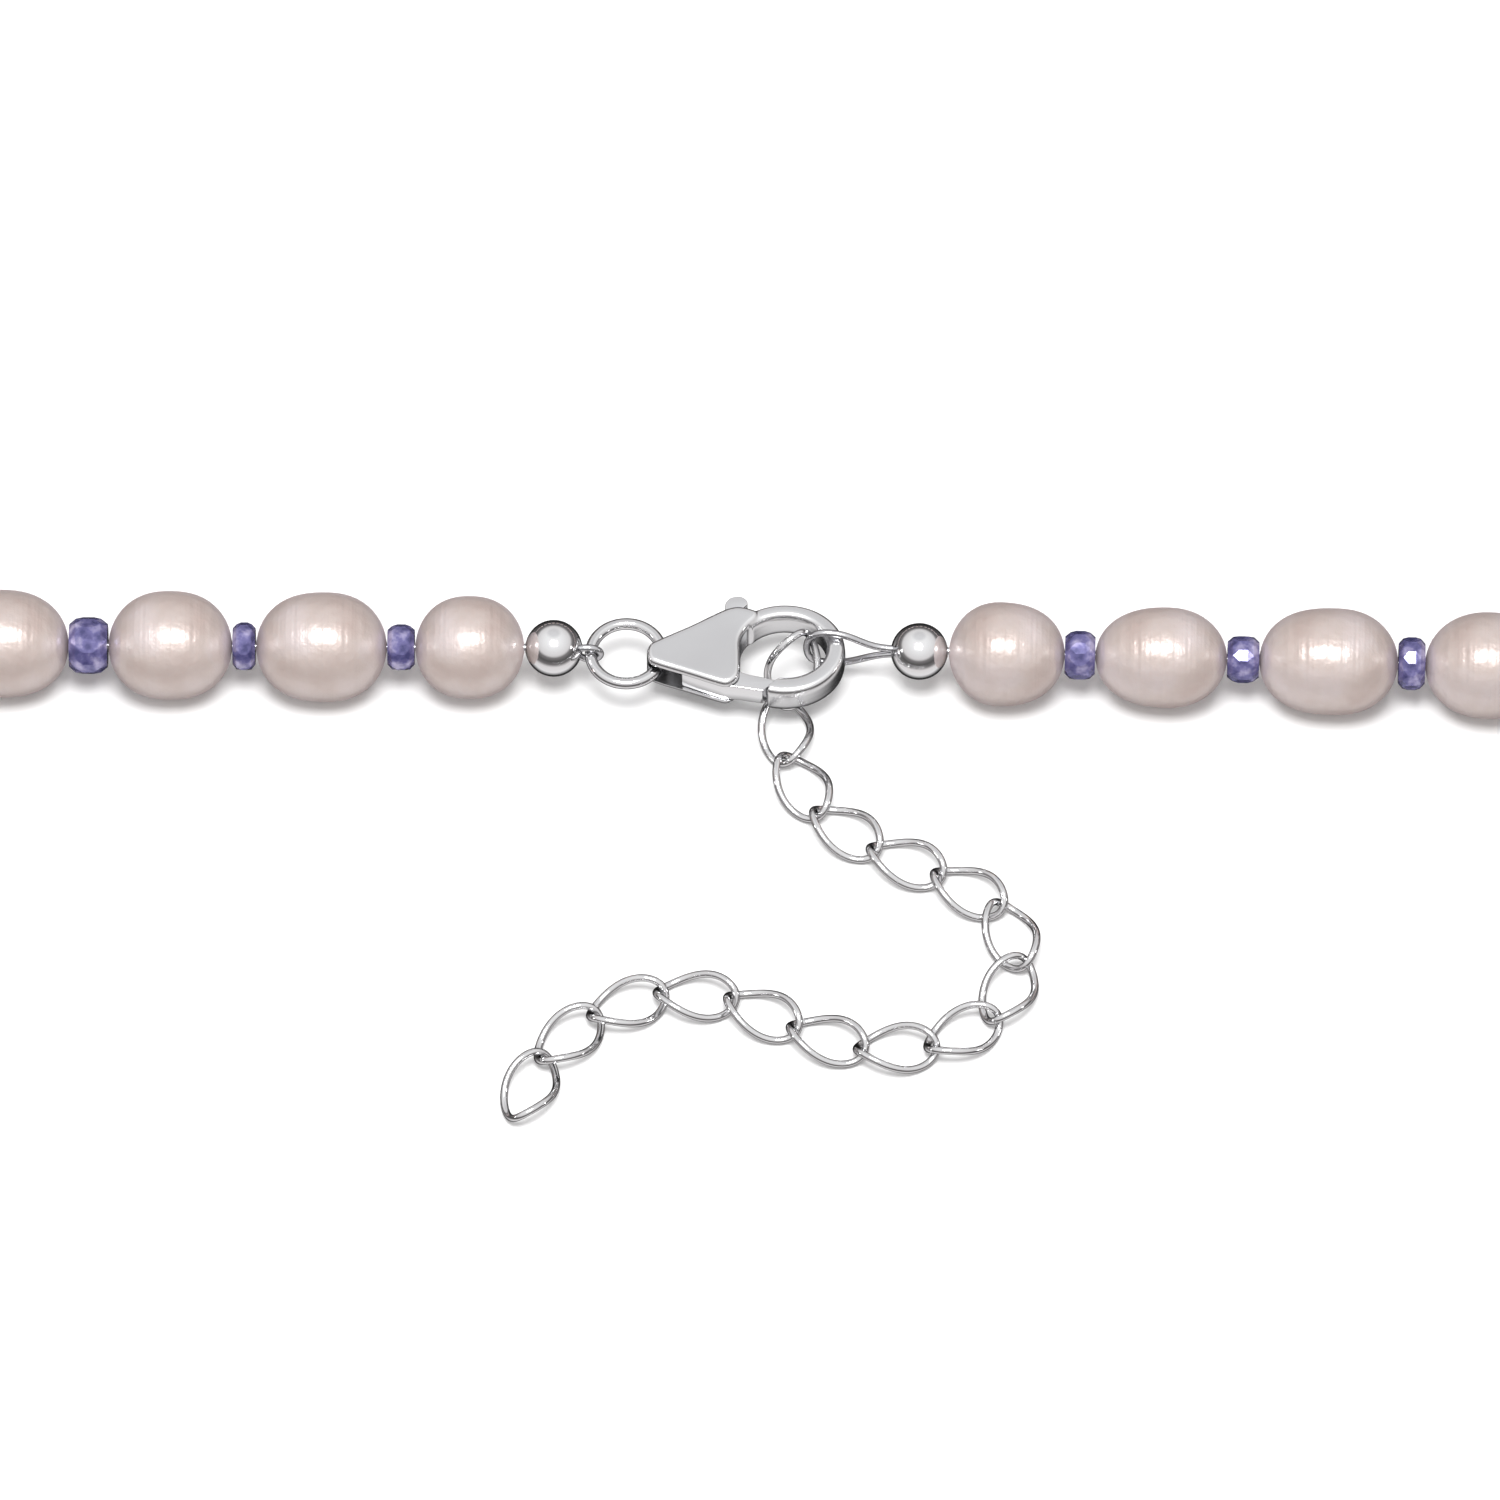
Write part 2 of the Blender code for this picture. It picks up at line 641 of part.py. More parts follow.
def link_curve():
    """One link with its start joint at the origin and its end joint at +X: an oval whose plane twists
    along its length, so that neighbouring links cross at right angles while both lie flat."""
    points = []
    for index in range(LINK_POINTS):
        angle = math.tau * (index + 0.5) / LINK_POINTS
        along = LINK_HALF_LENGTH * math.cos(angle)
        across = LINK_HALF_WIDTH * math.sin(angle)
        twist = LINK_TWIST * math.cos(angle)
        x = LINK_PITCH / 2 + along
        points.append((x, across * math.cos(twist), across * math.sin(twist)))
    return wire_curve("chain_link", points, LINK_WIRE_R, closed=True)


def first_link_rotation():
    """The first link hangs from the wire loop down to the table, rolled about its own length."""
    along = (Vector(SECOND_JOINT) - Vector(FIRST_JOINT)).normalized()
    across = (Vector((1.0, 0.0, 0.0)) - along * along.x).normalized()
    up = along.cross(across)
    frame = Matrix((along, across, up)).transposed()
    return (frame @ Matrix.Rotation(FIRST_LINK_ROLL, 3, "X")).to_euler()


def make_chain():
    curve = link_curve()
    add_piece("chain_link_00", curve, silver_bright, FIRST_JOINT, first_link_rotation())
    joint = Vector(SECOND_JOINT)
    for index, heading in enumerate(LINK_HEADINGS):
        turn = math.radians(heading)
        name = f"chain_link_{index + 1:02d}"
        add_piece(name, curve, silver_bright, joint, (0.0, 0.0, turn))
        joint += Vector((math.cos(turn), math.sin(turn), 0.0)) * LINK_PITCH


# ---------------------------------------------------------------- assembly

clear_scene()
necklace = make_collection("pearl_necklace")
cutters = make_collection("cutters", hidden=True)
row = bpy.data.objects.new("front_row", None)
row.location = ROW_ORIGIN
necklace.objects.link(row)
bpy.context.view_layer.update()

pearl_white = make_material("pearl", PEARL_WHITE)
stone_violet = make_material("rondelle_stone", STONE_VIOLET)
silver_bright = make_material("bright_silver", SILVER_BRIGHT)
silver_satin = make_material("satin_silver", SILVER_SATIN)
steel_wire = make_material("beading_wire", STEEL_WIRE)

STRETCHES, LEFT_R, RIGHT_R = strand_path()

left_used = make_visible_beads(
    "left", LEFT_PEARLS, LEFT_RONDELLES, (-BALL_X, LEFT_BALL_Y), LEFT_HEADING
)
right_used = make_visible_beads(
    "right", RIGHT_PEARLS, RIGHT_RONDELLES, (BALL_X, RIGHT_BALL_Y), RIGHT_HEADING - math.pi
)
make_hidden_strand(left_used, right_used)
make_end_ball("left", -BALL_X, LEFT_BALL_Y, LEFT_HEADING)
make_end_ball("right", BALL_X, RIGHT_BALL_Y, RIGHT_HEADING - math.pi)
make_left_wire(left_used)
make_right_wire(right_used)
make_ring()
make_clasp_body()
make_lever()
make_rivet()
make_spring()
make_chain()
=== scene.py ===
"""Looks for the pearl necklace: fine pearls, faceted rondelles, cast clasp and polished wire."""

import json
import math
import random

import bmesh
import bpy
from mathutils import Matrix, Vector


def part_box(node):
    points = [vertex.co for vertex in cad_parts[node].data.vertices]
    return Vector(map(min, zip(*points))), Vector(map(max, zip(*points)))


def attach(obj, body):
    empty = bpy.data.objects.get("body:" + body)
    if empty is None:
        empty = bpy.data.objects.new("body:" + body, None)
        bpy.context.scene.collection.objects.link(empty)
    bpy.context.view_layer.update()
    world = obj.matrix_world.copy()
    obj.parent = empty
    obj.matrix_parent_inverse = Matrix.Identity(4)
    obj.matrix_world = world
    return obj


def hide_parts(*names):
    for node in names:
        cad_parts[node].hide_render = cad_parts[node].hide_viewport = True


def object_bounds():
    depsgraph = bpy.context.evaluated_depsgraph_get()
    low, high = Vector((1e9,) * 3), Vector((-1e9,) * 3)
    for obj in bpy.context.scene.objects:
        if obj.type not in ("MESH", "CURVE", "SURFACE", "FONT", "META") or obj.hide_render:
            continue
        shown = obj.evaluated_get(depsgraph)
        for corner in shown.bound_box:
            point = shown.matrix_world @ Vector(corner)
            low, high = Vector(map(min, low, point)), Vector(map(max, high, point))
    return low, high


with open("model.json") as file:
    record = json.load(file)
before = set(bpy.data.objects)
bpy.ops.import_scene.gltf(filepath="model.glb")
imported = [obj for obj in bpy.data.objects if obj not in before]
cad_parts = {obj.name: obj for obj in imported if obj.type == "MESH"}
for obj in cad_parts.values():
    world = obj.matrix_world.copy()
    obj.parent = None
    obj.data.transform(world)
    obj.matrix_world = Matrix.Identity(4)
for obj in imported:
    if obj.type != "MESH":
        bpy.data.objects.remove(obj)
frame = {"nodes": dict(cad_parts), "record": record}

MM = 0.001

# Bead shapes
PEARL_RINGS = 28
PEARL_STEPS = 40
PEARL_SHRINK = 0.985
BORE_R = 0.32 * MM
HOLE_DEPTH = 0.5 * MM
FACETS = 13
BEAD_GAP = 0.06 * MM
FOLD_GAP = 0.2 * MM
HIDDEN_PEARL_D = 7.4 * MM
HIDDEN_PEARL_LENGTH = 8.2 * MM
HIDDEN_RONDELLE = (2.0 * MM, 3.4 * MM)
SIDE_PEARLS = {"front": 3, "1": 1, "2": 1, "3": 1, "4": 1}
BACK_NODES = ["strand_back_1", "strand_back_2", "strand_back_3", "strand_back_4"]
BACK_PEARLS_EACH = 5
FRONT_LENGTH = 46.5 * MM
ARC_STEPS = 160

# Clasp: its outlines and hook are in millimetres from a point beside the lever's pivot
CLASP_HALF = 1.38 * MM
CHANNEL_HALF = 0.9 * MM
LEVER_HALF = 0.8 * MM
CAST_VOXEL = 0.065 * MM
SEAM_ANGLE = math.radians(40)
CASTING_RIM = 0.35 * MM
LEVER_RIM = 0.07 * MM
TAIL_LENGTH = 6.0 * MM
PIVOT_UP = 0.3 * MM
SEAM_PLACE = Vector((2.36, -3.1, 0.0))
SEAM_BLOCK = (2.6, 1.2, 6.0)
SEAM_SHIFT = 0.55 * MM
HOOK_CENTRE = Vector((3.25, -0.3))
HOOK_RADII = (3.4, 2.98)
HOOK_TURN = (math.radians(140), math.radians(-108))
HOOK_STATIONS = 60
HOOK_SIDES = 28
CASTING_CORNERS = [
    (-6.0, -0.75), (-5.85, -1.4), (-5.3, -1.76), (-3.0, -2.58), (-1.15, -3.26), (-0.6, -3.32),
    (-0.1, -3.0), (0.2, -2.4), (0.25, -1.0), (0.25, 0.1), (0.5, 0.85), (0.95, 1.45), (1.4, 1.95),
    (1.35, 2.55), (0.3, 2.9), (-0.45, 2.82), (-1.3, 2.42), (-3.07, 1.4), (-5.2, 0.3), (-5.8, -0.1),
]
CAVITY = [
    (-6.3, -2.7), (1.0, -4.6), (1.0, 0.6), (0.68, 1.0), (0.68, 3.8), (-2.05, 3.8),
    (-2.05, 1.4), (-4.4, 0.15), (-4.4, 1.6), (-5.6, 1.6), (-5.5, 0.3), (-5.5, -0.4),
    (-5.6, -0.8), (-5.75, -1.1), (-6.1, -1.5),
]
LEVER_CORNERS = [
    (-3.6, -2.0), (-3.2, -2.3), (-1.2, -3.08), (-0.6, -3.22), (0.3, -3.33), (1.4, -3.53), (2.2, -3.6),
    (3.0, -3.6), (3.0, -2.85), (2.6, -2.72), (1.6, -2.45), (0.6, -2.2), (0.1, -1.9), (-0.1, -1.2),
    (-0.1, 0.9), (0.1, 1.6), (0.33, 2.8), (0.5, 3.1), (0.72, 3.35), (0.7, 3.62), (0.45, 3.88),
    (0.1, 3.98), (-0.3, 3.9), (-0.62, 3.65), (-0.76, 3.3), (-0.8, 2.5), (-0.8, 1.25), (-1.6, 1.05),
    (-1.93, 0.5), (-1.93, -0.5), (-2.6, -1.3),
]

# Camera
PHOTO_ELEVATION = math.radians(57)
VIEW_WIDTH = 100 * MM
FOCUS_FROM_CLASP = (6.9 * MM, -3.98 * MM, 0.25 * MM)
LENS = 400.0
SENSOR = 36.0

# Studio: each light is (name, place from the clasp, size, power); the shades are by height
LIGHTS = [
    ("key", (-0.01, -0.11, 0.50), (0.22, 0.17), 2.3),
    ("right glint", (0.45, -0.04, 0.12), (0.05, 0.05), 0.08),
    ("left glint", (-0.45, -0.04, 0.12), (0.05, 0.05), 0.08),
]
WORLD_STRENGTH = 0.9
HEIGHT_SHADES = [
    (0.0, (0.95, 0.94, 0.94)),
    (0.27, (0.80, 0.77, 0.77)),
    (0.37, (0.20, 0.19, 0.19)),
    (0.5, (0.10, 0.096, 0.096)),
    (0.63, (0.22, 0.21, 0.21)),
    (0.70, (0.75, 0.73, 0.73)),
    (0.95, (1.0, 1.0, 1.0)),
]
# Each card is (1 above or -1 below the horizon, shades by the cosine from its direction).
# The first greys flat metal, the second darkens the edges of wire. Both stay put in every view.
CARDS = [
    (1.0, [(0.90, (1.0, 1.0, 1.0)), (0.97, (0.78, 0.78, 0.79))]),
    (-1.0, [(0.45, (1.0, 1.0, 1.0)), (0.80, (0.05, 0.05, 0.05))]),
]


def bounds_now():
    lowest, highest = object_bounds()
    return [list(lowest), list(highest)]


size_at_load = bounds_now()

# ---------------------------------------------------------------- materials


def new_material(name, colour, roughness, metallic=0.0, **inputs):
    """A Principled material; inputs gives further sockets by name, with _ for a space."""
    material = bpy.data.materials.new(name)
    material.use_nodes = True
    shader = material.node_tree.nodes["Principled BSDF"]
    shader.inputs["Base Color"].default_value = (*colour, 1.0)
    shader.inputs["Roughness"].default_value = roughness
    shader.inputs["Metallic"].default_value = metallic
    for key, value in inputs.items():
        shader.inputs[key.replace("_", " ")].default_value = value
    return material


def add_node(material, kind, **values):
    node = material.node_tree.nodes.new(kind)
    for key, value in values.items():
        if key in node.inputs:
            node.inputs[key].default_value = value
        else:
            setattr(node, key, value)
    return node


def link(material, start, end):
    material.node_tree.links.new(start, end)


def noise(material, scale, detail, vector, roughness=0.5):
    node = add_node(material, "ShaderNodeTexNoise", Scale=scale, Detail=detail, Roughness=roughness)
    link(material, vector, node.inputs["Vector"])
    return node.outputs["Fac"]


def ramp(tree, value, stops):
    """A colour ramp over the value; stops are (position, colour)."""
    node = tree.nodes.new("ShaderNodeValToRGB")
    elements = node.color_ramp.elements
    for index, (position, colour) in enumerate(stops):
        element = elements[index] if index < 2 else elements.new(position)
        element.position = position
        element.color = (*colour, 1.0)
    tree.links.new(value, node.inputs["Fac"])
    return node.outputs["Color"]


def add_bump(material, height, strength, distance):
    shader = material.node_tree.nodes["Principled BSDF"]
    bump = add_node(material, "ShaderNodeBump", Strength=strength, Distance=distance)
    link(material, height, bump.inputs["Height"])
    link(material, bump.outputs["Normal"], shader.inputs["Normal"])
    return bump


def object_place(material):
    return add_node(material, "ShaderNodeTexCoord").outputs["Object"]


def pearl_material():
    """Nacre: cream with rosy clouds, faint growth rings round the bore, and a soft gloss."""
    material = new_material(
        "pearl", (0.6, 0.49, 0.45), 0.34, 0.22, Coat_Weight=0.5, Coat_Roughness=0.2,
        Subsurface_Weight=0.1,
        Subsurface_Scale=0.0012, Sheen_Weight=0.4, Sheen_Roughness=0.35,
        Sheen_Tint=(1.0, 0.82, 0.86, 1.0), IOR=1.6,
    )
    shader = material.node_tree.nodes["Principled BSDF"]
    shader.inputs["Subsurface Radius"].default_value = (1.0, 0.6, 0.5)
    place = object_place(material)
    clouds = noise(material, 260.0, 3.0, place)
    tint = ramp(material.node_tree, clouds, [
        (0.3, (0.44, 0.35, 0.32)),
        (0.5, (0.515, 0.435, 0.405)),
        (0.7, (0.565, 0.49, 0.48)),
    ])
    link(material, tint, shader.inputs["Base Color"])
    # growth rings: noise that hardly changes across the bore and quickly along it
    stretch = add_node(material, "ShaderNodeMapping")
    stretch.inputs["Scale"].default_value = (60.0, 60.0, 1500.0)
    link(material, place, stretch.inputs["Vector"])
    rings = noise(material, 1.0, 2.0, stretch.outputs["Vector"])
    skin = noise(material, 1400.0, 4.0, place)
    total = add_node(material, "ShaderNodeMath", operation="MULTIPLY_ADD")
    link(material, rings, total.inputs[0])
    total.inputs[1].default_value = 1.6
    link(material, skin, total.inputs[2])
    add_bump(material, total.outputs[0], 0.5, 0.00013)
    return material


def stone_material():
    """Smoky violet crystal with a half-silvered coating, so that each facet keeps its own tone."""
    material = new_material(
        "rondelle_stone", (0.19, 0.17, 0.33), 0.2, 0.35, Coat_Weight=0.5, Coat_Roughness=0.03,
        Specular_IOR_Level=0.6, Transmission_Weight=0.2,
    )
    place = object_place(material)
    clouds = noise(material, 1100.0, 3.0, place)
    tint = ramp(material.node_tree, clouds, [
        (0.35, (0.07, 0.066, 0.2)),
        (0.5, (0.17, 0.155, 0.37)),
        (0.68, (0.48, 0.44, 0.66)),
    ])
    link(material, tint, material.node_tree.nodes["Principled BSDF"].inputs["Base Color"])
    return material


def silver_material(name, colour, roughness, wear, edge, waviness):
    """Plated silver: fine handling marks in the gloss, faint waviness, and an edge tint."""
    material = new_material(name, colour, roughness, 1.0, Specular_Tint=(*edge, 1.0))
    place = object_place(material)
    marks = noise(material, 2600.0, 6.0, place, 0.7)
    gloss = add_node(material, "ShaderNodeMapRange")
    gloss.inputs["To Min"].default_value = roughness
    gloss.inputs["To Max"].default_value = roughness + wear
    link(material, marks, gloss.inputs["Value"])
    shader = material.node_tree.nodes["Principled BSDF"]
    link(material, gloss.outputs["Result"], shader.inputs["Roughness"])
    wave = noise(material, 160.0, 1.0, place)
    add_bump(material, wave, 0.3, waviness)
    return material


def floor_material():
    material = new_material("floor", (0.93, 0.93, 0.93), 0.75, Specular_IOR_Level=0.2)
    place = object_place(material)
    grain = noise(material, 900.0, 5.0, place)
    add_bump(material, grain, 0.02, 0.0001)
    return material


PEARL = pearl_material()
STONE = stone_material()
BRIGHT = silver_material(
    "bright_silver", (0.84, 0.84, 0.85), 0.05, 0.08, (0.035, 0.035, 0.037), 0.0005
)
POLISHED = silver_material(
    "polished_silver", (0.93, 0.93, 0.94), 0.07, 0.06, (0.60, 0.60, 0.61), 0.0003
)
SATIN = silver_material("satin_silver", (0.86, 0.86, 0.87), 0.15, 0.12, (0.42, 0.42, 0.43), 0.0018)
WIRE = silver_material("beading_wire", (0.66, 0.66, 0.68), 0.16, 0.12, (0.05, 0.05, 0.052), 0.0003)
MATERIALS = {
    "pearl": PEARL,
    "rondelle_stone": STONE,
    "bright_silver": BRIGHT,
    "satin_silver": SATIN,
    "beading_wire": WIRE,
}

# ---------------------------------------------------------------- frame helpers

BODY_OF = {}
for body, nodes in frame["record"]["behaviour"]["bodies"].items():
    for node in nodes:
        BODY_OF[node] = body
JOINTS = {joint["name"]: joint for joint in frame["record"]["behaviour"]["joints"]}


def new_piece(name, mesh, material, nodes, matrix=None):
    """A visible piece that stands for these CAD nodes and rides on their body."""
    obj = bpy.data.objects.new(name, mesh)
    bpy.context.scene.collection.objects.link(obj)
    if not mesh.materials:
        mesh.materials.append(material)
    if matrix is not None:
        obj.matrix_world = matrix
    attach(obj, BODY_OF[nodes[0]])
    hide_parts(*nodes)
    return obj


def joint_place(name):
    joint = JOINTS[name]
    return Vector(joint["pos_m"]), Vector(joint["axis"]).normalized()


def along(place, axis, roll=0.0):
    """A frame at place whose Z lies along the axis."""
    turn = axis.to_track_quat("Z", "Y").to_matrix().to_4x4()
    return Matrix.Translation(place) @ turn @ Matrix.Rotation(roll, 4, "Z")


# ---------------------------------------------------------------- bead meshes


def pearl_mesh(name, length, diameter, chance):
    """A slightly lopsided oval pearl with a drill hole, its bore along Z."""
    bend = chance.uniform(-0.025, 0.025)
    lean = chance.uniform(-0.05, 0.05)
    phase = chance.uniform(0, math.tau)
    waist = chance.uniform(-0.012, 0.012)
    bluntness = chance.uniform(2.1, 2.5)

    def reach(angle, turn):
        share = -math.cos(angle)
        radius = diameter / 2 * max(0.0, 1 - abs(share) ** bluntness) ** 0.5
        radius *= 1 + lean * share * (1 - share * share) + waist * math.cos(3 * angle)
        wobble = 1 + bend * math.cos(turn - phase) * (1 - share * share)
        wobble += 0.006 * math.sin(3 * turn + phase)
        return max(radius, BORE_R) * wobble * PEARL_SHRINK

    return bead_mesh(name, length, reach)


def ball_mesh(name, diameter):
    def reach(angle, _turn):
        return max(diameter / 2 * math.sin(angle), BORE_R)

    return bead_mesh(name, diameter, reach)


def bead_mesh(name, length, reach):
    """A bead with its skin at reach(angle from the lower end, turn) and a hole at both ends."""
    mesh = bpy.data.meshes.new(name)
    edit = bmesh.new()
    rows = []
    for ring in range(PEARL_RINGS + 1):
        angle = math.pi * ring / PEARL_RINGS
        row = []
        for step in range(PEARL_STEPS):
            turn = math.tau * step / PEARL_STEPS
            radius = reach(angle, turn)
            spot = (radius * math.cos(turn), radius * math.sin(turn), -math.cos(angle) * length / 2)
            row.append(edit.verts.new(spot))
        rows.append(row)
    inner = []
    for row, end in ((rows[0], 1), (rows[-1], -1)):
        sunk = [(v.co.x * 0.8, v.co.y * 0.8, v.co.z + end * HOLE_DEPTH) for v in row]
        inner.append([edit.verts.new(spot) for spot in sunk])
    rows = [inner[0]] + rows + [inner[1]]
    bridge_rows(edit, rows)
    edit.faces.new(rows[0][::-1])
    edit.faces.new(rows[-1])
    bmesh.ops.recalc_face_normals(edit, faces=edit.faces)
    edit.to_mesh(mesh)
    edit.free()
    mesh.shade_smooth()
    return mesh


def bridge_rows(edit, rows):
    for low, high in zip(rows, rows[1:]):
        for step in range(len(low)):
            after = (step + 1) % len(low)
            edit.faces.new((low[step], low[after], high[after], high[step]))


def rondelle_mesh(name, length, diameter, chance):
    """A cut bead: a girdle between two crowns of kite-shaped facets, its bore along Z."""
    half, radius = length / 2, diameter / 2 * 0.99
    roll = chance.uniform(0.3, 0.7)
    rings = [
        (BORE_R, half * 0.8, 0.0),
        (BORE_R * 1.2, half, 0.0),
        (radius * 0.76, half, 0.0),
        (radius * 0.95, half * 0.66, 0.5),
        (radius, half * 0.28, 0.0),
        (radius, -half * 0.28, 0.0),
        (radius * 0.95, -half * 0.66, 0.5),
        (radius * 0.76, -half, 0.0),
        (BORE_R * 1.2, -half, 0.0),
        (BORE_R, -half * 0.8, 0.0),
    ]
    mesh = bpy.data.meshes.new(name)
    edit = bmesh.new()
    rows = []
    for reach, height, offset in rings:
        row = []
        for step in range(FACETS):
            turn = math.tau * (step + offset + roll) / FACETS
            row.append(edit.verts.new((reach * math.cos(turn), reach * math.sin(turn), height)))
        rows.append(row)
    for (low, high), (one, two) in zip(zip(rows, rows[1:]), zip(rings, rings[1:])):
        for step in range(FACETS):
            after = (step + 1) % FACETS
            if one[2] == two[2]:
                edit.faces.new((low[step], low[after], high[after], high[step]))
            elif two[2] > one[2]:
                edit.faces.new((low[step], low[after], high[step]))
                edit.faces.new((low[after], high[after], high[step]))
            else:
                edit.faces.new((low[step], high[after], high[step]))
                edit.faces.new((low[step], low[after], high[after]))
    for row in (rows[0], rows[-1]):
        edit.faces.new(row)
    bmesh.ops.recalc_face_normals(edit, faces=edit.faces)
    edit.to_mesh(mesh)
    edit.free()
    mesh.shade_flat()
    return mesh


def dress_bead(node, make, material, chance):
    """Replaces one spinning CAD bead by a fine one of the same length and diameter."""
    place, axis = joint_place(f"{node}_spins")
    lowest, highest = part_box(node)
    mesh = make(f"{node}_fine", highest.x - lowest.x, highest.z - lowest.z, chance)
    new_piece(f"{node}_fine", mesh, material, [node], along(place, axis))


def dress_visible_beads(chance):
    for node in sorted(BODY_OF):
        if "_pearl_" in node:
            dress_bead(node, pearl_mesh, PEARL, chance)
        elif "_rondelle_" in node:
            dress_bead(node, rondelle_mesh, STONE, chance)


# ---------------------------------------------------------------- the rest of the strand


def side_path(side):
    """Points from the outermost strung pearl on one side to the top of its bend."""
    place, axis = joint_place(f"{side}_pearl_4_spins")
    lowest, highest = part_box(f"{side}_pearl_4")
    start = place + axis * (highest.x - lowest.x) / 2
    first = place - axis * (place - box_middle(f"{side}_end_ball")).length
    bend = first + axis * FRONT_LENGTH
    inward = Vector((-axis.y, axis.x, 0.0))
    if inward.y < 0:
        inward = -inward
    back_y = box_middle("strand_back_2").y
    radius = (back_y - bend.y) / (1 + inward.y)
    centre = bend + inward * radius
    from_angle = math.atan2(-inward.y, -inward.x)
    to_angle = math.pi / 2
    if side == "left":
        from_angle %= math.tau
    points = [start]
    for index in range(ARC_STEPS + 1):
        angle = from_angle + (to_angle - from_angle) * index / ARC_STEPS
        points.append(centre + Vector((math.cos(angle), math.sin(angle), 0.0)) * radius)
    return points


def box_middle(node):
    lowest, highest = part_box(node)
    return (lowest + highest) / 2


class Path:
    """A polyline that can be asked for its point and direction at a distance."""

    def __init__(self, points):
        self.points = points
        self.marks = [0.0]
        for a, b in zip(points, points[1:]):
            self.marks.append(self.marks[-1] + (b - a).length)

    def at(self, distance):
        for index, mark in enumerate(self.marks[1:]):
            if distance <= mark or index == len(self.points) - 2:
                a, b = self.points[index], self.points[index + 1]
                step = (distance - self.marks[index]) / (b - a).length
                return a.lerp(b, step), (b - a).normalized()

    def crossings(self, y):
        """Distances at which the path crosses this Y, in order."""
        found = []
        for index, (a, b) in enumerate(zip(self.points, self.points[1:])):
            if (a.y - y) * (b.y - y) < 0:
                step = (y - a.y) / (b.y - a.y)
                found.append(self.marks[index] + step * (b - a).length)
        return found


def hidden_beads(path, kinds, start, end, node, meshes, chance):
    """Strings fine beads along a hidden run, in the same places as in the CAD."""
    thickness, stone_d = HIDDEN_RONDELLE
    pearl = end - start - (len(kinds) - 1) * BEAD_GAP - kinds.count("r") * thickness
    pearl = pearl / kinds.count("p")
    distance = start
    for index, kind in enumerate(kinds):
        size = pearl if kind == "p" else thickness
        place, axis = path.at(distance + size / 2)
        matrix = along(place, axis, math.pi / 2 * chance.randrange(4))
        if kind == "p":
            grow = Matrix.Diagonal((1.0, 1.0, pearl / HIDDEN_PEARL_LENGTH, 1.0))
            mesh = chance.choice(meshes["p"])
            new_piece(f"{node}_pearl_{index}", mesh, PEARL, [node], matrix @ grow)
        else:
            mesh = meshes["r"]
            new_piece(f"{node}_rondelle_{index}", mesh, STONE, [node], matrix)
        distance += size + BEAD_GAP


def dress_hidden_strand(chance):
    path = Path(side_path("left") + side_path("right")[::-1])
    total = path.marks[-1]
    folds = [path.crossings(joint_place(f"strand_fold_{i}")[0].y) for i in range(1, 6)]
    left_marks = [crossed[0] for crossed in folds]
    right_marks = [crossed[-1] for crossed in folds]
    pearls = []
    for index in range(5):
        mesh = pearl_mesh(f"strand_pearl_{index}", HIDDEN_PEARL_LENGTH, HIDDEN_PEARL_D, chance)
        pearls.append(mesh)
    meshes = {"p": pearls, "r": rondelle_mesh("strand_rondelle", *HIDDEN_RONDELLE, chance)}
    left_edges = [0.0] + left_marks
    right_edges = [total] + right_marks
    for index, (name, count) in enumerate(SIDE_PEARLS.items()):
        near = BEAD_GAP if index == 0 else FOLD_GAP / 2
        kinds = "rp" * count
        start, end = left_edges[index] + near, left_edges[index + 1] - FOLD_GAP / 2
        hidden_beads(path, kinds, start, end, f"strand_left_{name}", meshes, chance)
        start, end = right_edges[index + 1] + FOLD_GAP / 2, right_edges[index] - near
        hidden_beads(path, kinds[::-1], start, end, f"strand_right_{name}", meshes, chance)
    start, end = left_edges[-1] + FOLD_GAP / 2, right_edges[-1] - FOLD_GAP / 2
    pitch = (end - start) / (BACK_PEARLS_EACH * len(BACK_NODES))
    for index, node in enumerate(BACK_NODES):
        kinds = "rp" * BACK_PEARLS_EACH
        finish = start + BACK_PEARLS_EACH * pitch
        if node == BACK_NODES[-1]:
            kinds += "r"
            finish = end + BEAD_GAP
        hidden_beads(path, kinds, start, finish - BEAD_GAP, node, meshes, chance)
        start = finish


# ---------------------------------------------------------------- wires, links, balls


def refined_copy(node, material, levels=2, grow=0.0):
    """A smooth copy of a CAD piece: its facets become quads again and are subdivided."""
    mesh = frame["nodes"][node].data.copy()
    mesh.name = f"{node}_fine"
    mesh.materials.clear()
    edit = bmesh.new()
    edit.from_mesh(mesh)
    bmesh.ops.remove_doubles(edit, verts=edit.verts, dist=1e-6)
    bmesh.ops.join_triangles(
        edit, faces=edit.faces, angle_face_threshold=0.7, angle_shape_threshold=0.9, cmp_seam=False
    )
    edit.to_mesh(mesh)
    edit.free()
    mesh.shade_smooth()
    obj = new_piece(f"{node}_fine", mesh, material, [node])
    smooth = obj.modifiers.new("smooth", "SUBSURF")
    smooth.levels = levels
    smooth.render_levels = levels
    if grow:
        swell = obj.modifiers.new("swell", "DISPLACE")
        swell.strength = grow
        swell.mid_level = 0.0
    return obj


def box_height(node):
    lowest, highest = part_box(node)
    return highest.z - lowest.z


